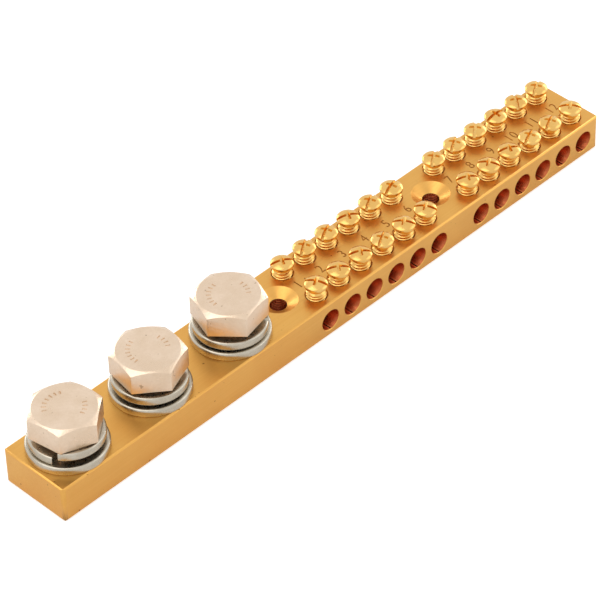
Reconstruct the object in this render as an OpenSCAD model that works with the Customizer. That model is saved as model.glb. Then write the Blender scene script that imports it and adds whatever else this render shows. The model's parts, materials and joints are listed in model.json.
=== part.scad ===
// Earth terminal bar: a tunnel-bored brass bar with three hexagon stud bolts,
// twelve cable ways with two clamp screws each, and two countersunk fixing holes.
// The bar lies along X with its bolt end at -X, the cable tunnels open to -Y
// and its base stands on Z = 0 under the middle of its length and width.

/* [Bar] */
// Width of the bar, from the cable face to the back face
bar_w = 20; // [16:0.5:30]
// Height of the bar
bar_h = 10; // [8:0.5:16]
// Bevel along the long edges and round the ends
edge_bevel = 0.4; // [0.1:0.05:1]
// Radius of the four upright corners
corner_r = 1; // [0.6:0.1:3]

/* [Cable ways] */
// Number of ways on each side of the second fixing hole
group_ways = 6; // [2:1:8]
// Distance from one way to the next
way_pitch = 7.6; // [6.3:0.1:12]
// Diameter of a cable tunnel
tunnel_d = 5.6; // [3:0.1:6]
// Height of the tunnel axes above the base
tunnel_z = 4.6; // [3.8:0.1:5]
// Chamfer at the mouths of the cable tunnels
tunnel_lip = 0.15; // [0.05:0.05:0.3]
// Last way to the far end of the bar
way_end_gap = 5.4; // [4:0.1:20]

/* [Clamp screws] */
// Thread diameter of a clamp screw
clamp_d = 5; // [3:0.5:5]
// Thread pitch of a clamp screw
clamp_pitch = 0.8; // [0.5:0.05:1]
// Whole turns by which the clamp screws are backed out
clamp_open_turns = 2; // [1:1:5]
// Diameter of a clamp screw head
clamp_head_d = 5.8; // [5.4:0.1:6.2]
// Height of a clamp screw head at its middle
clamp_head_h = 1.7; // [1.4:0.1:2.5]
// Height of the rim of a clamp screw head
clamp_rim_h = 0.9; // [0.6:0.05:1.2]
// Width of the slot and of the arms of the cross recess
recess_w = 0.8; // [0.5:0.05:1.2]
// Depth of the slot below the crown of the head
slot_depth = 1.25; // [0.6:0.05:1.3]
// Length of the arms of the cross recess at the crown, from tip to tip
cross_len = 3.3; // [2:0.1:4]
// Length of the arms of the cross recess at its foot
cross_foot = 1.4; // [1:0.1:1.9]
// Depth of the cross recess below the crown of the head
cross_depth = 1.4; // [0.8:0.05:1.5]
// Front row of clamp screws to the cable face
front_row_inset = 4.7; // [3.5:0.1:6]
// Back row of clamp screws to the back face
back_row_inset = 3.9; // [3.5:0.1:6]
// Space left between the tip of an open clamp screw and its tunnel
tip_gap = 0.3; // [0.1:0.1:1]
// Least depth of an open clamp screw in the bar, where the roof of the tunnels is thin
clamp_grip = 1.6; // [1.2:0.1:2]

/* [Stud bolts] */
// Number of hexagon bolts
bolts = 3; // [1:1:5]
// Thread diameter of a bolt
bolt_d = 10; // [6:1:12]
// Width of a bolt head across its flats
bolt_af = 16; // [15:0.5:22]
// Height of a bolt head
bolt_head_h = 6.4; // [4:0.1:8]
// Height of the round washer face under a bolt head
washer_face_h = 0.2; // [0.1:0.1:0.8]
// Distance from one bolt to the next
bolt_pitch = 26; // [22:0.5:40]
// Bolt end of the bar to the first bolt
bolt_end_gap = 10.9; // [10:0.1:20]
// Height of a bolt's tip above the base of the bar
bolt_tip_inset = 0.8; // [0.2:0.1:3]

/* [Washers] */
// Outer diameter of a flat washer
flat_od = 19.8; // [18:0.1:22]
// Thickness of a flat washer
flat_t = 2; // [1:0.1:3]
// Radius of the rounded upper edge of a flat washer
flat_round = 0.6; // [0.2:0.1:0.8]
// Thickness of the spring washer wire
spring_t = 2.2; // [1.5:0.1:3]
// Radial width of the spring washer wire
spring_w = 3.9; // [3:0.1:4.5]
// Height of a spring washer over its two raised ends
spring_h = 3.8; // [3.5:0.1:5]
// Chamfer along the four edges of the spring washer wire
spring_chamfer = 0.3; // [0.1:0.05:0.6]
// Opening between the two ends of a spring washer, in degrees
spring_gap_angle = 9; // [4:1:20]

/* [Fixing holes] */
// Diameter of a fixing hole
fixing_d = 4.3; // [3:0.1:5.5]
// Diameter of the countersink of a fixing hole
sink_d = 9.8; // [7:0.1:10]
// Included angle of the countersinks
sink_angle = 118; // [82:1:120]
// Last bolt to the first fixing hole
bolt_to_fixing = 15.9; // [15.3:0.1:30]

/* [Hidden] */
// Radial clearance of a thread in its tapped hole
thread_gap = 0.05;
// Radial clearance of a bolt in its washers
washer_gap = 0.25;
// Clearance at each face of a spring washer
seat_gap = 0.02;
// Width of the chamfer at the mouth of each tapped clamp hole
mouth_chamfer = 0.35;
// Chamfer at the tips of the threads and on the lower edge of the flat washers
tip_chamfer = 0.5;
washer_chamfer = 0.15;
// Bevel under the rim of a clamp screw head
rim_bevel = 0.25;
// Slope of the chamfer on top of a bolt head, and its top circle as a share of the flats
head_chamfer_angle = 30;
head_circle_share = 0.95;
// Turn of each bolt's hexagon and of the opening of each spring washer, in degrees
bolt_turn = [39, 21, 12, 30, 50];
spring_turn = [-150, 30, -45, 90, 0];
// Turns beyond clamp_open_turns, way by way, at which the screws were left
front_more_turns = [1.33, 0.90, 0.91, 0.58, 0.85, 0.84, 0.91, 0.84, 0.93, 0.56, 0.57, 0.86];
back_more_turns = [0.93, 1.09, 1.07, 0.93, 1.08, 1.05, 1.10, 1.08, 1.11, 1.00, 1.15, 1.09];
// Steps along the wire of a spring washer, over the crown of a clamp screw head
// and round the upper edge of a flat washer
wire_steps = 48;
crown_steps = 8;
edge_steps = 6;
// Overrun of a cut past the faces that it opens
cut = 1;
$fn = 64;

ways = 2 * group_ways;
bar_len = bolt_end_gap + (bolts - 1) * bolt_pitch + bolt_to_fixing
    + (ways + 1) * way_pitch + way_end_gap;
first_bolt_x = bolt_end_gap - bar_len / 2;
first_fixing_x = first_bolt_x + (bolts - 1) * bolt_pitch + bolt_to_fixing;
fixing_x = [first_fixing_x, first_fixing_x + (group_ways + 1) * way_pitch];
front_row_y = front_row_inset - bar_w / 2;
back_row_y = bar_w / 2 - back_row_inset;
sink_depth = (sink_d - fixing_d) / 2 / tan(sink_angle / 2);
tunnel_top = tunnel_z + tunnel_d / 2;
// The screws share one length, at which the one left deepest still clears its tunnel
least_open_turns = clamp_open_turns + min(concat(front_more_turns, back_more_turns));
clamp_len = least_open_turns * clamp_pitch + max(bar_h - tunnel_top - tip_gap, clamp_grip);
bolt_seat_z = bar_h + flat_t + spring_h + 2 * seat_gap;
bolt_len = bolt_seat_z - bolt_tip_inset;

// Way numbers run from the bolts to the far end and skip the second fixing hole
function way_x(way) = first_fixing_x + (way + (way > group_ways ? 1 : 0)) * way_pitch;
function bolt_x(bolt) = first_bolt_x + (bolt - 1) * bolt_pitch;
function open_turns(more_turns, way) = clamp_open_turns + more_turns[(way - 1) % len(more_turns)];

// A rectangle of the given size about the origin with four bevelled corners
module bevelled_rect(size, bevel) {
    x = size[0] / 2;
    y = size[1] / 2;
    polygon([
        [-x + bevel, -y], [x - bevel, -y], [x, -y + bevel], [x, y - bevel],
        [x - bevel, y], [-x + bevel, y], [-x, y - bevel], [-x, -y + bevel]
    ]);
}

module bar_plan() {
    square([bar_len - 2 * corner_r, bar_w], center = true);
    square([bar_len, bar_w - 2 * corner_r], center = true);
    for (x = [-1, 1], y = [-1, 1])
        translate([x * (bar_len / 2 - corner_r), y * (bar_w / 2 - corner_r)]) circle(corner_r);
}

// The drawn bar: its plan cut to the bevelled sections along and across
module bar_blank() {
    intersection() {
        linear_extrude(bar_h) bar_plan();
        translate([0, 0, bar_h / 2]) rotate([90, 0, 90])
            linear_extrude(bar_len + cut, center = true) bevelled_rect([bar_w, bar_h], edge_bevel);
        translate([0, 0, bar_h / 2]) rotate([90, 0, 0])
            linear_extrude(bar_w + cut, center = true) bevelled_rect([bar_len, bar_h], edge_bevel);
    }
}

// A tunnel through the bar, chamfered at both mouths
module cable_tunnel() {
    translate([0, 0, tunnel_z]) for (side = [1, -1]) rotate([side * 90, 0, 0]) {
        translate([0, 0, -cut]) cylinder(d = tunnel_d, h = bar_w / 2 + 2 * cut);
        translate([0, 0, bar_w / 2 - tunnel_lip])
            cylinder(d1 = tunnel_d, d2 = tunnel_d + 4 * tunnel_lip, h = 2 * tunnel_lip);
    }
}

module clamp_hole() {
    hole_d = clamp_d + 2 * thread_gap;
    translate([0, 0, tunnel_z]) cylinder(d = hole_d, h = bar_h - tunnel_z + cut);
    translate([0, 0, bar_h - mouth_chamfer])
        cylinder(d1 = hole_d, d2 = hole_d + 4 * mouth_chamfer, h = 2 * mouth_chamfer);
}

module fixing_hole() {
    translate([0, 0, -cut]) cylinder(d = fixing_d, h = bar_h + 2 * cut);
    translate([0, 0, bar_h - sink_depth])
        cylinder(d1 = fixing_d, d2 = 2 * sink_d - fixing_d, h = 2 * sink_depth);
}

module bar() {
    color("#D9A24E") difference() {
        bar_blank();
        for (bolt = [1:bolts])
            translate([bolt_x(bolt), 0, -cut]) cylinder(d = bolt_d + 2 * thread_gap, h = bar_h + 2 * cut);
        for (x = fixing_x) translate([x, 0, 0]) fixing_hole();
        for (way = [1:ways]) {
            translate([way_x(way), 0, 0]) cable_tunnel();
            translate([way_x(way), front_row_y, 0]) clamp_hole();
            translate([way_x(way), back_row_y, 0]) clamp_hole();
        }
    }
}

// Half section of a clamp screw, from its tip up over the crown of its head
module clamp_screw_section() {
    rim_r = clamp_head_d / 2;
    rise = clamp_head_h - clamp_rim_h;
    crown_r = (rim_r * rim_r + rise * rise) / 2 / rise;
    crown_angle = asin(rim_r / crown_r);
    polygon(concat(
        [[0, -clamp_len], [clamp_d / 2 - tip_chamfer, -clamp_len],
         [clamp_d / 2, tip_chamfer - clamp_len], [clamp_d / 2, 0],
         [rim_r - rim_bevel, 0], [rim_r, rim_bevel]],
        [for (step = [crown_steps:-1:0]) let (angle = crown_angle * step / crown_steps)
            [crown_r * sin(angle), clamp_head_h - crown_r * (1 - cos(angle))]]
    ));
}

// The cross recess: two crossed arms whose tips slope in towards its foot
module cross_recess() {
    intersection() {
        union() for (angle = [0, 90]) rotate([0, 0, angle])
            translate([0, 0, clamp_head_h - cross_depth + cut])
                cube([cross_len + cut, recess_w, 2 * cut], center = true);
        translate([0, 0, clamp_head_h - cross_depth])
            cylinder(d1 = cross_foot, d2 = 2 * cross_len - cross_foot, h = 2 * cross_depth);
    }
}

// A domed clamp screw with a full slot and a cross recess, its head seated on Z = 0
module clamp_screw_solid() {
    difference() {
        rotate_extrude() clamp_screw_section();
        translate([0, 0, clamp_head_h - slot_depth + cut])
            cube([clamp_head_d + cut, recess_w, 2 * cut], center = true);
        cross_recess();
    }
}

// The clamp screw of one way, backed out of its hole by a number of turns
module clamp_screw(way, row_y, turns) {
    color("#E3BC5C") translate([way_x(way), row_y, bar_h + turns * clamp_pitch])
        rotate([0, 0, 360 * turns]) clamp_screw_solid();
}

module flat_washer(bolt) {
    r = flat_od / 2;
    bore_r = bolt_d / 2 + washer_gap;
    color("#C9C4BC") translate([bolt_x(bolt), 0, bar_h]) rotate_extrude() polygon(concat(
        [[bore_r, 0], [r - washer_chamfer, 0], [r, washer_chamfer]],
        [for (step = [0:edge_steps]) let (angle = 90 * step / edge_steps)
            [r - flat_round * (1 - cos(angle)), flat_t - flat_round * (1 - sin(angle))]],
        [[bore_r, flat_t]]
    ));
}

// Section of the spring washer's wire, a rectangle with chamfered edges
wire_section = let (c = spring_chamfer, w = spring_w, t = spring_t)
    [[c, 0], [w - c, 0], [w, c], [w, t - c], [w - c, t], [c, t], [0, t - c], [0, c]];
wire_sides = len(wire_section);

// Corners of the spring washer's wire at a step of its left-hand turn
function wire_ring(step) = let (
    share = step / wire_steps,
    angle = -spring_gap_angle / 2 - share * (360 - spring_gap_angle),
    base = share * (spring_h - spring_t),
    bore_r = bolt_d / 2 + washer_gap
) [for (corner = wire_section)
    [(bore_r + corner[0]) * cos(angle), (bore_r + corner[0]) * sin(angle), base + corner[1]]];

module spring_washer(bolt) {
    rings = [for (step = [0:wire_steps]) each wire_ring(step)];
    sides = [for (step = [0:wire_steps - 1], side = [0:wire_sides - 1])
        let (a = wire_sides * step + side, b = wire_sides * step + (side + 1) % wire_sides)
        [a, b, b + wire_sides, a + wire_sides]];
    first_end = [for (side = [wire_sides - 1:-1:0]) side];
    last_end = [for (side = [0:wire_sides - 1]) wire_sides * wire_steps + side];
    color("#B9B4AA") translate([bolt_x(bolt), 0, bar_h + flat_t + seat_gap])
        rotate([0, 0, spring_turn[bolt - 1]])
            polyhedron(rings, concat(sides, [first_end, last_end]));
}

// A hexagon prism over a round washer face, its top corners cut by a cone
module bolt_head() {
    circle_d = bolt_af * head_circle_share;
    cylinder(d = circle_d, h = bolt_head_h / 2);
    intersection() {
        translate([0, 0, washer_face_h])
            cylinder(d = bolt_af / cos(30), h = bolt_head_h - washer_face_h, $fn = 6);
        cylinder(d1 = circle_d + 2 * bolt_head_h / tan(head_chamfer_angle), d2 = circle_d, h = bolt_head_h);
    }
}

module bolt(number) {
    color("#D8CBBE") translate([bolt_x(number), 0, bolt_seat_z]) {
        rotate([0, 0, bolt_turn[number - 1]]) bolt_head();
        translate([0, 0, tip_chamfer - bolt_len])
            cylinder(d = bolt_d, h = bolt_len - tip_chamfer + bolt_head_h / 2);
        translate([0, 0, -bolt_len])
            cylinder(d1 = bolt_d - 2 * tip_chamfer, d2 = bolt_d, h = tip_chamfer);
    }
}

bar();
for (number = [1:bolts]) {
    flat_washer(number);
    spring_washer(number);
    bolt(number);
}
for (way = [1:ways]) {
    clamp_screw(way, front_row_y, open_turns(front_more_turns, way));
    clamp_screw(way, back_row_y, open_turns(back_more_turns, way));
}
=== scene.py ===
import json
import math

import bmesh
import bpy
from mathutils import Matrix, Vector


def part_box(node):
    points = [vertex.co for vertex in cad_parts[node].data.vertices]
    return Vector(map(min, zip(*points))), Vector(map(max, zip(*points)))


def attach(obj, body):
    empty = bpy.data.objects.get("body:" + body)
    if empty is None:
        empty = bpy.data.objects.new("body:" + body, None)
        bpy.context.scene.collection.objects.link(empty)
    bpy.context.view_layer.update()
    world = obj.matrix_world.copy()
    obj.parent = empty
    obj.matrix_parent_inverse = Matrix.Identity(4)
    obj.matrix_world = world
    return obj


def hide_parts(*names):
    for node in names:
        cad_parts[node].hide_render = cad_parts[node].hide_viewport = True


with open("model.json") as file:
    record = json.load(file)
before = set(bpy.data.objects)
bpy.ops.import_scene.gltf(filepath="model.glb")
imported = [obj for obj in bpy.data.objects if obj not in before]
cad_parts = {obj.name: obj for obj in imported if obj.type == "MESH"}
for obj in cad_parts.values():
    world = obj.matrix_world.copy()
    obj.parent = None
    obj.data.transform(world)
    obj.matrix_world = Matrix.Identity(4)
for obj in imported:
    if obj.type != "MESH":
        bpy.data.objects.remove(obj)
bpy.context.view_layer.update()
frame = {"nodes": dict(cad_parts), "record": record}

# Looks of an earth terminal bar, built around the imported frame: a drawn brass bar with
# stamped way numbers, threaded brass clamp screws, and zinc-plated bolts and washers.
# Meshes are built in millimetres and scaled to metres when they become objects.

MM = 0.001
MOUNTS = {mount["name"]: mount for mount in frame["record"]["mounts"]}
WAYS = sum(name.startswith("way_") for name in MOUNTS)
BOLTS = sum(name.startswith("bolt_") for name in frame["nodes"])

# Clamp screws: an M5 thread and a neck under a domed head with a slot and a cross recess
SCREW_PITCH = 0.8
SCREW_NECK_H = 0.9
SCREW_THREAD_R = 2.5
SCREW_ROOT_R = 2.02
SCREW_HEAD_H = 1.7
SCREW_RIM_H = 0.9
RECESS_W = 0.8
RECESS_FOOT_W = 0.5
SLOT_DEPTH = 1.25
CROSS_LEN = 3.3
CROSS_FOOT = 1.4
CROSS_DEPTH = 1.4

# Bolts: an M10 thread under a 16 mm hexagon with a round washer face
BOLT_PITCH = 1.5
BOLT_THREAD_R = 5.0
BOLT_ROOT_R = 4.1
BOLT_AF = 16.0
BOLT_HEAD_H = 6.4
BOLT_CIRCLE_R = 7.6
BOLT_FACE_H = 0.2
BOLT_CHAMFER = math.radians(30)
BOLT_TURNS = (99, 141, 132)
MARK_ARCS = ((6, 7), (-149, 4))
MARK_STEP = 15
MARK_R = (4.1, 5.3)
MARK_DEPTH = 0.25

# Washers: the spring washers are left-hand wires with their ends a gap apart
WASHER_GAP = 0.25
FLAT_ROUND = 0.6
SPRING_T = 2.2
SPRING_W = 3.9
SPRING_GAP = 9.0
SPRING_TURNS = (-150, 30, -45)
SPRING_EDGE = 0.55

# Stamped numbers of the ways, by the middle of each way
NUMBER_H = 2.8
NUMBER_WIDTH_SHARE = 0.8
NUMBER_DEPTH = 0.16
NUMBER_SHIFT = (-0.5, 0.4)

# Fixing holes with the grooves that a drill left in their bores
FIXING_R = 2.15
FIXING_SINK = 1.65
GROOVE_DEPTH = 0.14
GROOVE_PITCH = 0.55

# How near a face must lie to a bore or a number to take its painted shade, and what counts as flat
SHADE_SLACK = 0.07
FLAT_NORMAL = 0.9999

# The stage: lamps as (name, place, side, power), and the levels of the world and the floor
LAMPS = (("key", (-0.4, 0.1, 0.8), 0.7, 1.6), ("fill", (0.6, -0.5, 0.5), 0.6, 0.8),
         ("rim_x", (0.8, 0.06, 0.16), 0.4, 1.2), ("rim_y", (0.04, 0.8, 0.16), 0.4, 1.2))
WORLD_LIT = 0.8
FLOOR_GREY = 0.86
FLOOR_SEEN_GLOW = 0.5
FLOOR_MIRRORED_GLOW = 0.1
CAMERA_LENS = 211.763
CAMERA_PLACE = (-0.445090, -0.451269, 0.568946)
CAMERA_FORWARD = (0.519998, 0.533730, -0.666884)
CAMERA_UP = (0.488311, 0.454828, 0.744771)


# ---------------------------------------------------------------- meshes

def box_mm(node):
    """Lowest and highest corner of a CAD node, in millimetres."""
    low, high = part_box(node)
    return low / MM, high / MM


def linked(name, mesh):
    obj = bpy.data.objects.new(name, mesh)
    bpy.context.scene.collection.objects.link(obj)
    return obj


def from_bmesh(name, bm):
    """An object from a bmesh in millimetres, with one vertex at each place."""
    bmesh.ops.remove_doubles(bm, verts=bm.verts, dist=1e-4)
    bmesh.ops.dissolve_degenerate(bm, edges=bm.edges, dist=1e-4)
    bmesh.ops.recalc_face_normals(bm, faces=bm.faces)
    bmesh.ops.transform(bm, matrix=Matrix.Scale(MM, 4), verts=bm.verts)
    mesh = bpy.data.meshes.new(name)
    bm.to_mesh(mesh)
    bm.free()
    return linked(name, mesh)


def evaluated(obj):
    """The object with its modifiers applied."""
    graph = bpy.context.evaluated_depsgraph_get()
    mesh = bpy.data.meshes.new_from_object(obj.evaluated_get(graph))
    old = obj.data
    obj.modifiers.clear()
    obj.data = mesh
    bpy.data.meshes.remove(old)
    return obj


def boolean(obj, cutter, operation="DIFFERENCE"):
    """Combines obj with a cutter, which is used up."""
    modifier = obj.modifiers.new("cut", "BOOLEAN")
    modifier.operation = operation
    modifier.solver = "EXACT"
    modifier.object = cutter
    evaluated(obj)
    bpy.data.objects.remove(cutter)
    return obj


def bevel(obj, width, segments=2, angle=35, above=None):
    """Rounds the edges sharper than angle, only above a height in millimetres if one is given."""
    bm = bmesh.new()
    bm.from_mesh(obj.data)
    weight = bm.edges.layers.float.new("bevel_weight_edge")
    for edge in bm.edges:
        sharp = edge.is_manifold and edge.calc_face_angle(0) > math.radians(angle)
        high = above is None or min(v.co.z for v in edge.verts) > above * MM
        edge[weight] = 1.0 if sharp and high else 0.0
    bm.to_mesh(obj.data)
    bm.free()
    modifier = obj.modifiers.new("bevel", "BEVEL")
    modifier.limit_method = "WEIGHT"
    modifier.width = width * MM
    modifier.segments = segments
    return evaluated(obj)


def smooth(obj, angle=32):
    obj.data.shade_smooth()
    obj.data.set_sharp_from_angle(angle=math.radians(angle))
    return obj


def ring(bm, sides, radius, z):
    """One row of vertices round the axis. Radius and z may be functions of the angle."""
    row = []
    for i in range(sides):
        a = 2 * math.pi * i / sides
        r = radius(a) if callable(radius) else radius
        h = z(a) if callable(z) else z
        row.append(bm.verts.new((r * math.cos(a), r * math.sin(a), h)))
    return row


def face(bm, *verts):
    """A face on the vertices that differ from their neighbours."""
    kept = [v for i, v in enumerate(verts) if v is not verts[i - 1]]
    if len(kept) > 2:
        bm.faces.new(kept)


def skin(bm, rows, climb=0):
    """Faces between closed rows; at the seam of a thread the rows climb, and stop at the last."""
    sides, last = len(rows[0]), len(rows) - 1
    for j in range(last):
        for i in range(sides):
            step = climb if i == sides - 1 else 0
            low, high = rows[min(j + step, last)], rows[min(j + 1 + step, last)]
            k = (i + 1) % sides
            face(bm, rows[j][i], low[k], high[k], rows[j + 1][i])


def thread(bm, sides, major, root, pitch, bottom, top):
    """The rows of a right-hand thread from its chamfered tip up to its run-out, skinned."""
    profile = ((0.0, root), (0.2, root), (0.46, major), (0.62, major))
    tip = 0.97 * root
    rows = []
    for turn in range(math.ceil((top - bottom) / pitch) + 2):
        for share, radius in profile:
            def z_at(a):
                z = bottom + pitch * (turn - 1 + share + a / (2 * math.pi))
                return max(bottom, min(top, z))

            def r_at(a):
                z = z_at(a)
                return min(radius, tip + (z - bottom), root + (top - z))

            rows.append(ring(bm, sides, r_at, z_at))
    skin(bm, rows, climb=len(profile))
    return rows


def turned(bm, sides, points, first=None):
    """A turned surface through (radius, z) points, joined to a first row if one is given."""
    rows = [ring(bm, sides, r, z) for r, z in points]
    skin(bm, ([first] if first else []) + rows)
    return rows


def arc(radius, centre, start, end, steps):
    """(r, z) points on an arc about a centre, angles in degrees from the +r axis."""
    angles = (math.radians(start + (end - start) * i / steps) for i in range(steps + 1))
    return [(centre[0] + radius * math.cos(a), centre[1] + radius * math.sin(a)) for a in angles]


def prism(bm, outlines):
    """A closed solid through outlines of (x, y) points at given heights."""
    rows = [[bm.verts.new((x, y, z)) for x, y in points] for points, z in outlines]
    skin(bm, rows)
    bm.faces.new(rows[0][::-1])
    bm.faces.new(rows[-1])


def oblong(length, width):
    x, y = length / 2, width / 2
    return [(-x, -y), (x, -y), (x, y), (-x, y)]


def cross(length, width):
    x, y = length / 2, width / 2
    return [(x, -y), (x, y), (y, y), (y, x), (-y, x), (-y, y),
            (-x, y), (-x, -y), (-y, -y), (-y, -x), (y, -x), (y, -y)]


def grown(at_foot, at_crown, share):
    """A size carried on past the crown, along the line from the foot."""
    return at_foot + (at_crown - at_foot) * share


# ---------------------------------------------------------------- pieces

def clamp_screw_crown():
    """The radii of a clamp screw's head and crown, and the height that its recess leaves."""
    low, high = box_mm("clamp_screw_front_1")
    rim_r = (high.x - low.x) / 2
    rise = SCREW_HEAD_H - SCREW_RIM_H
    crown_r = (rim_r ** 2 + rise ** 2) / 2 / rise
    top = SCREW_HEAD_H - crown_r + math.sqrt(crown_r ** 2 - RECESS_W ** 2 / 2)
    return rim_r, crown_r, top


def clamp_screw_mesh():
    """A clamp screw with its head seated on Z = 0, its slot along X."""
    rim_r, crown_r, top = clamp_screw_crown()
    low, high = box_mm("clamp_screw_front_1")
    length = high.z - low.z - top
    crown_centre = (0, SCREW_HEAD_H - crown_r)
    crown_angle = math.degrees(math.acos(rim_r / crown_r))

    sides = 64
    bm = bmesh.new()
    rows = thread(bm, sides, SCREW_THREAD_R, SCREW_ROOT_R, SCREW_PITCH, -length, -SCREW_NECK_H)
    rows.append(ring(bm, sides, SCREW_ROOT_R, 0))
    skin(bm, rows[-2:])
    under = arc(0.25, (rim_r - 0.25, 0.25), -90, 0, 4)
    shoulder = arc(0.22, (rim_r - 0.22, SCREW_RIM_H - 0.2), 0, 52, 4)
    crown = arc(crown_r, crown_centre, crown_angle + 3.2, 88, 9)
    head = turned(bm, sides, under + shoulder + crown, rows[-1])
    bm.faces.new(rows[0][::-1])
    bm.faces.new(head[-1])
    screw = from_bmesh("clamp_screw", bm)

    over = 1.25
    bm = bmesh.new()
    slot_foot, slot_top = SCREW_HEAD_H - SLOT_DEPTH, SCREW_HEAD_H + (over - 1) * SLOT_DEPTH
    prism(bm, ((oblong(3 * rim_r, RECESS_W * 0.9), slot_foot),
               (oblong(3 * rim_r, grown(RECESS_W * 0.9, RECESS_W, over)), slot_top)))
    boolean(screw, from_bmesh("slot", bm))
    bm = bmesh.new()
    prism(bm, ((cross(CROSS_FOOT, RECESS_FOOT_W), SCREW_HEAD_H - CROSS_DEPTH),
               (cross(grown(CROSS_FOOT, CROSS_LEN, over), grown(RECESS_FOOT_W, RECESS_W, over)),
                SCREW_HEAD_H + (over - 1) * CROSS_DEPTH)))
    boolean(screw, from_bmesh("recess", bm))
    smooth(bevel(screw, 0.07, angle=38, above=0.2))
    mesh = screw.data
    bpy.data.objects.remove(screw)
    return mesh


def bolt_mesh():
    """A bolt with its washer face on Z = 0 and plain radial dashes stamped in its head."""
    low, high = box_mm("bolt_1")
    length = high.z - low.z - BOLT_HEAD_H

    def hexagon(a):
        return BOLT_AF / 2 / math.cos((a + math.pi / 6) % (math.pi / 3) - math.pi / 6)

    def hexagon_turned(a):
        return hexagon(a + math.pi / 6)

    def chamfer_z(a):
        return BOLT_HEAD_H - (hexagon_turned(a) - BOLT_CIRCLE_R) * math.tan(BOLT_CHAMFER)

    sides = 96
    bm = bmesh.new()
    rows = thread(bm, sides, BOLT_THREAD_R, BOLT_ROOT_R, BOLT_PITCH, -length, 0)
    bm.faces.new(rows[0][::-1])
    head = [rows[-1],
            ring(bm, sides, BOLT_CIRCLE_R, 0),
            ring(bm, sides, BOLT_CIRCLE_R, BOLT_FACE_H),
            ring(bm, sides, hexagon_turned, BOLT_FACE_H),
            ring(bm, sides, hexagon_turned, chamfer_z),
            ring(bm, sides, BOLT_CIRCLE_R, BOLT_HEAD_H)]
    skin(bm, head)
    bm.faces.new(head[-1])
    bolt = from_bmesh("bolt", bm)
    bevel(bolt, 0.2, segments=3, angle=20, above=-0.1)

    bm = bmesh.new()
    middle, reach = sum(MARK_R) / 2, MARK_R[1] - MARK_R[0]
    for centre, count in MARK_ARCS:
        for i in range(count):
            before = len(bm.verts)
            prism(bm, ((oblong(reach - 0.3, 0.2), BOLT_HEAD_H - MARK_DEPTH),
                       (oblong(reach + 0.2, 0.8), BOLT_HEAD_H + MARK_DEPTH)))
            angle = math.radians(centre + (i - (count - 1) / 2) * MARK_STEP)
            place = Matrix.Rotation(angle, 4, "Z") @ Matrix.Translation((middle, 0, 0))
            bm.verts.ensure_lookup_table()
            bmesh.ops.transform(bm, matrix=place, verts=bm.verts[before:])
    boolean(bolt, from_bmesh("marks", bm))
    mesh = smooth(bolt, 24).data
    bpy.data.objects.remove(bolt)
    return mesh


def flat_washer_mesh():
    """A punched washer on Z = 0, its upper edge drawn round."""
    low, high = box_mm("flat_washer_1")
    radius, thick = (high.x - low.x) / 2, high.z - low.z
    bore = BOLT_THREAD_R + WASHER_GAP
    small = 0.15
    points = (arc(small, (radius - small, small), -90, 0, 3)
              + arc(FLAT_ROUND, (radius - FLAT_ROUND, thick - FLAT_ROUND), 0, 90, 8)
              + arc(small, (bore + small, thick - small), 90, 180, 3)
              + arc(small, (bore + small, small), 180, 270, 3))
    bm = bmesh.new()
    turned(bm, 128, points + points[:1])
    return from_bmesh("flat_washer", bm)


def spring_washer_mesh():
    """A split washer on Z = 0: round-edged wire that falls to its low end, its gap at +X."""
    low, high = box_mm("spring_washer_1")
    rise = high.z - low.z - SPRING_T
    middle = BOLT_THREAD_R + WASHER_GAP + SPRING_W / 2
    e, w, t = SPRING_EDGE, SPRING_W / 2, SPRING_T / 2
    section = (arc(e, (w - e, t - e), 0, 90, 5) + arc(e, (e - w, t - e), 90, 180, 5)
               + arc(e, (e - w, e - t), 180, 270, 5) + arc(e, (w - e, e - t), 270, 360, 5))
    steps = 144
    bm = bmesh.new()
    rows = []
    for i in range(steps + 1):
        share = i / steps
        a = -math.radians(SPRING_GAP / 2 + share * (360 - SPRING_GAP))
        rows.append([bm.verts.new(((middle + r) * math.cos(a), (middle + r) * math.sin(a),
                                   t + share * rise + z)) for r, z in section])
    skin(bm, rows)
    bm.faces.new(rows[0][::-1])
    bm.faces.new(rows[-1])
    return from_bmesh("spring_washer", bm)


def way_numbers():
    """The numbers of the ways as solids that stand in the top of the bar."""
    top = box_mm("bar")[1].z
    curves, solids = [], bmesh.new()
    for way in range(1, WAYS + 1):
        curve = bpy.data.curves.new("number", "FONT")
        curve.body = str(way)
        curve.align_x = "CENTER"
        curve.space_character = 1.15
        curve.resolution_u = 4
        curve.extrude = 0.5
        text = linked("number", curve)
        graph = bpy.context.evaluated_depsgraph_get()
        mesh = bpy.data.meshes.new_from_object(text.evaluated_get(graph))
        low_y = min(v.co.y for v in mesh.vertices)
        size = NUMBER_H / (max(v.co.y for v in mesh.vertices) - low_y)
        x = MOUNTS[f"way_{way}"]["pos_m"][0] / MM + NUMBER_SHIFT[0]
        y = NUMBER_SHIFT[1] - NUMBER_H / 2 - low_y * size
        scale = Matrix.Diagonal((size * NUMBER_WIDTH_SHARE, size, 2 * NUMBER_DEPTH, 1))
        mesh.transform(Matrix.Translation((x, y, top)) @ scale)
        solids.from_mesh(mesh)
        curves.append((text, curve, mesh))
    for text, curve, mesh in curves:
        bpy.data.objects.remove(text)
        bpy.data.curves.remove(curve)
        bpy.data.meshes.remove(mesh)
    return from_bmesh("numbers", solids)


def fixing_xs():
    """Where the two fixing holes lie along the bar."""
    pattern = MOUNTS["fixing_holes"]
    middle, spacing = pattern["pos_m"][0] / MM, pattern["dims"]["spacing_x_mm"]
    return middle - spacing / 2, middle + spacing / 2


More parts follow.
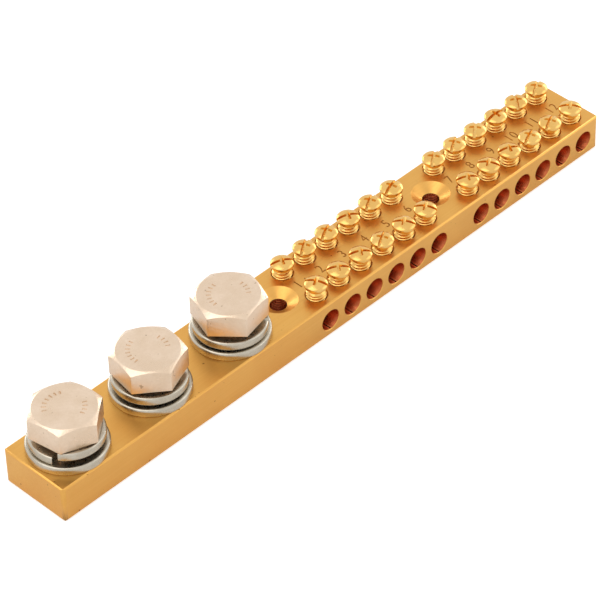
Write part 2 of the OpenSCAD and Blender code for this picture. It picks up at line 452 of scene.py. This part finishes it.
def bore_grooves():
    """Rings with a sharp outer edge, to be cut into the walls of both fixing holes."""
    low, high = box_mm("bar")
    count = int((high.z - low.z - FIXING_SINK) / GROOVE_PITCH)
    bm = bmesh.new()
    for x in fixing_xs():
        before = len(bm.verts)
        for i in range(count):
            z = low.z + (i + 0.5) * GROOVE_PITCH
            half = 0.4 * GROOVE_PITCH
            inside = FIXING_R - 0.15
            rows = [ring(bm, 64, r, h) for r, h in (
                (inside, z - half), (FIXING_R + GROOVE_DEPTH, z), (inside, z + half))]
            skin(bm, rows + rows[:1])
        bm.verts.ensure_lookup_table()
        bmesh.ops.translate(bm, verts=bm.verts[before:], vec=(x, 0, 0))
    return from_bmesh("grooves", bm)


def finish_faces(bar):
    """Gives the bar's bored faces the second material, a painted shade of the hollows, and the faces
    of its numbers the third, a painted shade in the strokes.
    """
    top = box_mm("bar")[1].z
    ways = [MOUNTS[f"way_{way}"] for way in range(1, WAYS + 1)]
    tunnels = [(m["pos_m"][0] / MM, m["pos_m"][2] / MM, m["dims"]["r_mm"]) for m in ways]
    wells = [spot(name)[:2] + (SCREW_THREAD_R,) for name in frame["nodes"] if "screw" in name]
    bores = [(x, 0, FIXING_R + GROOVE_DEPTH) for x in fixing_xs()]

    def within(circles, across, along):
        return any(math.hypot(across - a, along - b) < r + SHADE_SLACK for a, b, r in circles)

    for polygon in bar.data.polygons:
        x, y, z = polygon.center / MM
        along, up = abs(polygon.normal.y), abs(polygon.normal.z)
        in_tunnel = along < 0.1 and within(tunnels, x, z)
        in_well = up < 0.1 and within(wells, x, y)
        in_bore = z < top - FIXING_SINK and within(bores, x, y)
        # Faces in the tunnels, wells and fixing bores take painted shade; the floors and walls of the
        # stamped numbers take painted shade in their strokes.
        if in_tunnel or in_well or in_bore:
            polygon.material_index = 1
        elif (top - 2 * NUMBER_DEPTH < z < top - SHADE_SLACK and not 0.1 < up < 0.99
              and abs(y - NUMBER_SHIFT[1]) < NUMBER_H / 2
              and any(abs(x - NUMBER_SHIFT[0] - t[0]) < NUMBER_H for t in tunnels)):
            polygon.material_index = 2


def filled(obj):
    """Fills the slivers that a boolean has dropped."""
    bm = bmesh.new()
    bm.from_mesh(obj.data)
    bmesh.ops.holes_fill(bm, edges=[edge for edge in bm.edges if edge.is_boundary], sides=4)
    bm.to_mesh(obj.data)
    bm.free()
    return obj


def bar_piece():
    """The CAD bar with its way numbers stamped in, and grooved bores in its fixing holes."""
    bm = bmesh.new()
    bm.from_mesh(frame["nodes"]["bar"].data)
    bmesh.ops.transform(bm, matrix=Matrix.Scale(1 / MM, 4), verts=bm.verts)
    bar = from_bmesh("bar_piece", bm)
    boolean(bar, bore_grooves())
    boolean(bar, way_numbers())
    finish_faces(filled(bar))
    smooth(bar, 30)
    for polygon in bar.data.polygons:
        polygon.use_smooth = max(abs(part) for part in polygon.normal) < FLAT_NORMAL
    return bar


# ---------------------------------------------------------------- materials

def add(tree, kind, settings=None, inputs=None):
    """A node with its settings, and its inputs set to values or linked from sockets."""
    node = tree.nodes.new("ShaderNode" + kind)
    for name, value in (settings or {}).items():
        setattr(node, name, value)
    for key, value in (inputs or {}).items():
        if isinstance(value, bpy.types.NodeSocket):
            tree.links.new(value, node.inputs[key])
        else:
            node.inputs[key].default_value = value
    return node


def linear(rgb):
    """A display colour, 0 to 255, as the linear colour that a shader takes."""
    parts = (c / 255 for c in rgb)
    return tuple(c / 12.92 if c < 0.04045 else ((c + 0.055) / 1.055) ** 2.4 for c in parts) + (1,)


def noise(tree, place, per_mm, stretch=(1, 1, 1), detail=3, rough=0.5):
    """Noise over the object's own coordinates, with about per_mm features in a millimetre."""
    scale = tuple(s * per_mm / MM for s in stretch)
    mapped = add(tree, "Mapping", None, {"Vector": place, "Scale": scale})
    return add(tree, "TexNoise", None, {"Vector": mapped.outputs[0], "Scale": 1.0,
                                        "Detail": detail, "Roughness": rough}).outputs["Fac"]


def spread(tree, value, low, high, to_low, to_high):
    """Maps a stretch of values onto another, and stops at its ends."""
    return add(tree, "MapRange", None, {"Value": value, "From Min": low, "From Max": high,
                                        "To Min": to_low, "To Max": to_high}).outputs[0]


def mixed(tree, share, a, b, blend="MIX"):
    node = add(tree, "Mix", {"data_type": "RGBA", "blend_type": blend},
               {"Factor": share, 6: a, 7: b})
    return node.outputs[2]


def metal(name, tones, rough, grain, blotch=0.12, fine=5.0, relief=0.012, grain_relief=0.02,
          specks=None):
    """A worn metal: slow blotches between two tones, drawn or turned grain, and a fine tooth.
    grain is how many marks a millimetre holds along X, Y and Z. specks is (colour, share)."""
    material = bpy.data.materials.new(name)
    material.use_nodes = True
    tree = material.node_tree
    tree.nodes.clear()
    place = add(tree, "TexCoord").outputs["Object"]
    slow = noise(tree, place, blotch, detail=4)
    drawn = noise(tree, place, 1.0, grain, detail=5, rough=0.6)
    tooth = noise(tree, place, fine, detail=2)

    colour = mixed(tree, spread(tree, slow, 0.35, 0.65, 0, 1), linear(tones[0]), linear(tones[1]))
    streak = spread(tree, drawn, 0.3, 0.7, 0, 0.35)
    colour = mixed(tree, streak, colour, linear(tones[2]))
    if specks:
        spots = noise(tree, place, 0.9, detail=1)
        colour = mixed(tree, spread(tree, spots, 1 - specks[1], 1 - specks[1] + 0.04, 0, 0.8),
                       colour, linear(specks[0]))
    gloss = add(tree, "Math", {"operation": "ADD"}, {
        0: spread(tree, drawn, 0.25, 0.75, rough[0], rough[1]),
        1: spread(tree, slow, 0.3, 0.7, -0.03, 0.03)}).outputs[0]
    bump = add(tree, "Bump", None, {"Height": drawn, "Distance": grain_relief * MM, "Strength": 1.0})
    bump = add(tree, "Bump", None, {"Height": tooth, "Distance": relief * MM, "Strength": 1.0,
                                    "Normal": bump.outputs[0]})
    shader = add(tree, "BsdfPrincipled", None, {"Base Color": colour, "Metallic": 1.0,
                                                "Roughness": gloss, "Normal": bump.outputs[0]})
    add(tree, "OutputMaterial", None, {"Surface": shader.outputs[0]})
    return material


BAR_BRASS = metal("drawn_brass", ((224, 168, 88), (228, 175, 94), (216, 158, 78)), (0.28, 0.4),
                  grain=(0.03, 2.2, 2.2), specks=((120, 66, 30), 0.25))
# Darker, redder brass for the walls of the tunnels, wells and fixing bores: painted shade of the
# hollows.
BORE_SHADE_BRASS = metal("bore_painted_shade", ((184, 96, 60), (196, 108, 68), (164, 80, 46)), (0.22, 0.36),
                    grain=(1.2, 1.2, 1.2))
# Darker brass for the floors and walls of the stamped numbers: painted shade in the strokes.
NUMBER_SHADE_BRASS = metal("number_painted_shade", ((176, 120, 58), (188, 130, 66), (160, 106, 50)), (0.4, 0.5),
                      grain=(1.2, 1.2, 1.2))
SCREW_BRASS = metal("bright_brass", ((232, 184, 104), (238, 196, 118), (220, 164, 86)), (0.16, 0.28),
                    grain=(0.6, 0.6, 3.0), relief=0.006, grain_relief=0.01)
BOLT_ZINC = metal("zinc_bolt", ((226, 202, 176), (235, 213, 190), (213, 188, 162)), (0.26, 0.38),
                  grain=(1.4, 1.4, 1.4), blotch=0.2, relief=0.015, grain_relief=0.05,
                  specks=((170, 146, 120), 0.27))
WASHER_ZINC = metal("zinc_washer", ((186, 177, 160), (200, 192, 176), (170, 160, 144)), (0.22, 0.36),
                    grain=(1.0, 1.0, 2.0), blotch=0.25, grain_relief=0.03)


# ---------------------------------------------------------------- assembly

def seat(mesh, name, node, materials, place=Matrix.Identity(4)):
    """A copy of a mesh that stands for a CAD node, placed in millimetres, its place in its mesh."""
    place = place.copy()
    place.translation *= MM
    mesh = mesh.copy()
    mesh.transform(place)
    for material in materials:
        mesh.materials.append(material)
    piece = linked(name, mesh)
    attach(piece, "root")
    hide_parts(node)
    return piece


def spot(node):
    """The middle of a CAD node in plan, and its lowest and highest level."""
    low, high = box_mm(node)
    return (low.x + high.x) / 2, (low.y + high.y) / 2, low.z, high.z


def placed(x, y, z, turn=0.0):
    return Matrix.Translation((x, y, z)) @ Matrix.Rotation(turn, 4, "Z")


bar = bar_piece()
bar_mesh = bar.data
bpy.data.objects.remove(bar)
# The bar's second and third materials are painted shade in its bores and in its stamped numbers.
seat(bar_mesh, "bar_piece", "bar", (BAR_BRASS, BORE_SHADE_BRASS, NUMBER_SHADE_BRASS))

bar_top = box_mm("bar")[1].z
screw = clamp_screw_mesh()
for row in ("front", "back"):
    for way in range(1, WAYS + 1):
        node = f"clamp_screw_{row}_{way}"
        x, y, _, high = spot(node)
        under_head = high - clamp_screw_crown()[2]
        turn = 2 * math.pi * (under_head - bar_top) / SCREW_PITCH
        seat(screw, f"screw_piece_{row}_{way}", node, [SCREW_BRASS],
             placed(x, y, under_head, turn))

bolt = bolt_mesh()
flat = smooth(flat_washer_mesh(), 40)
spring = smooth(bevel(spring_washer_mesh(), 0.12, angle=50), 40)
for number in range(1, BOLTS + 1):
    x, y, low, _ = spot(f"flat_washer_{number}")
    seat(flat.data, f"flat_washer_piece_{number}", f"flat_washer_{number}",
         [WASHER_ZINC], placed(x, y, low))
    low = spot(f"spring_washer_{number}")[2]
    seat(spring.data, f"spring_washer_piece_{number}", f"spring_washer_{number}",
         [WASHER_ZINC], placed(x, y, low, math.radians(SPRING_TURNS[number - 1])))
    high = spot(f"bolt_{number}")[3]
    seat(bolt, f"bolt_piece_{number}", f"bolt_{number}", [BOLT_ZINC],
         placed(x, y, high - BOLT_HEAD_H, math.radians(BOLT_TURNS[number - 1])))
bpy.data.objects.remove(flat)
bpy.data.objects.remove(spring)


# ---------------------------------------------------------------- stage

def backdrop_white(tree, lit, seen, mirrored):
    """Shows one shader to the camera, one in reflections, and one to everything else."""
    path = add(tree, "LightPath").outputs
    glossy = add(tree, "Math", {"operation": "MAXIMUM"}, {
        0: path["Is Glossy Ray"], 1: path["Is Transmission Ray"]}).outputs[0]
    both = add(tree, "MixShader", None, {0: glossy, 1: lit, 2: mirrored}).outputs[0]
    return add(tree, "MixShader", None, {0: path["Is Camera Ray"], 1: both, 2: seen}).outputs[0]


def make_floor():
    bm = bmesh.new()
    bmesh.ops.create_grid(bm, x_segments=4, y_segments=4, size=2.0)
    mesh = bpy.data.meshes.new("floor")
    bm.to_mesh(mesh)
    bm.free()
    floor = linked("floor", mesh)
    material = bpy.data.materials.new("floor_white")
    material.use_nodes = True
    tree = material.node_tree
    tree.nodes.clear()
    diffuse = add(tree, "BsdfDiffuse", None, {"Color": (FLOOR_GREY,) * 3 + (1,)}).outputs[0]

    def glowing(strength):
        glow = add(tree, "Emission", None, {"Color": (1, 1, 1, 1), "Strength": strength})
        return add(tree, "AddShader", None, {0: diffuse, 1: glow.outputs[0]}).outputs[0]

    seen, mirrored = glowing(FLOOR_SEEN_GLOW), glowing(FLOOR_MIRRORED_GLOW)
    add(tree, "OutputMaterial", None, {"Surface": backdrop_white(tree, diffuse, seen, mirrored)})
    mesh.materials.append(material)


def make_world():
    world = bpy.data.worlds.new("studio")
    bpy.context.scene.world = world
    world.use_nodes = True
    tree = world.node_tree
    tree.nodes.clear()
    lit, white = (add(tree, "Background", None, {"Color": (1, 1, 1, 1), "Strength": level}).outputs[0]
                  for level in (WORLD_LIT, 1.0))
    add(tree, "OutputWorld", None, {"Surface": backdrop_white(tree, lit, white, white)})


def softbox(name, place, size, power):
    """A square lamp that faces the middle of the bar."""
    light = bpy.data.lights.new(name, "AREA")
    light.shape = "SQUARE"
    light.size = size
    light.energy = power
    lamp = linked(name, light)
    lamp.visible_camera = False
    lamp.location = place
    lamp.rotation_euler = (-Vector(place)).to_track_quat("-Z", "Y").to_euler()


def make_camera():
    data = bpy.data.cameras.new("camera")
    data.sensor_fit = "HORIZONTAL"
    data.sensor_width = 36.0
    data.lens = CAMERA_LENS
    data.clip_start = 0.05
    camera = linked("camera", data)
    forward, up = Vector(CAMERA_FORWARD), Vector(CAMERA_UP)
    axes = Matrix((forward.cross(up), up, -forward)).transposed()
    camera.matrix_world = Matrix.Translation(CAMERA_PLACE) @ axes.to_4x4()
    bpy.context.scene.camera = camera


make_floor()
make_world()
for lamp in LAMPS:
    softbox(*lamp)
make_camera()
bpy.context.scene.view_settings.view_transform = "Standard"
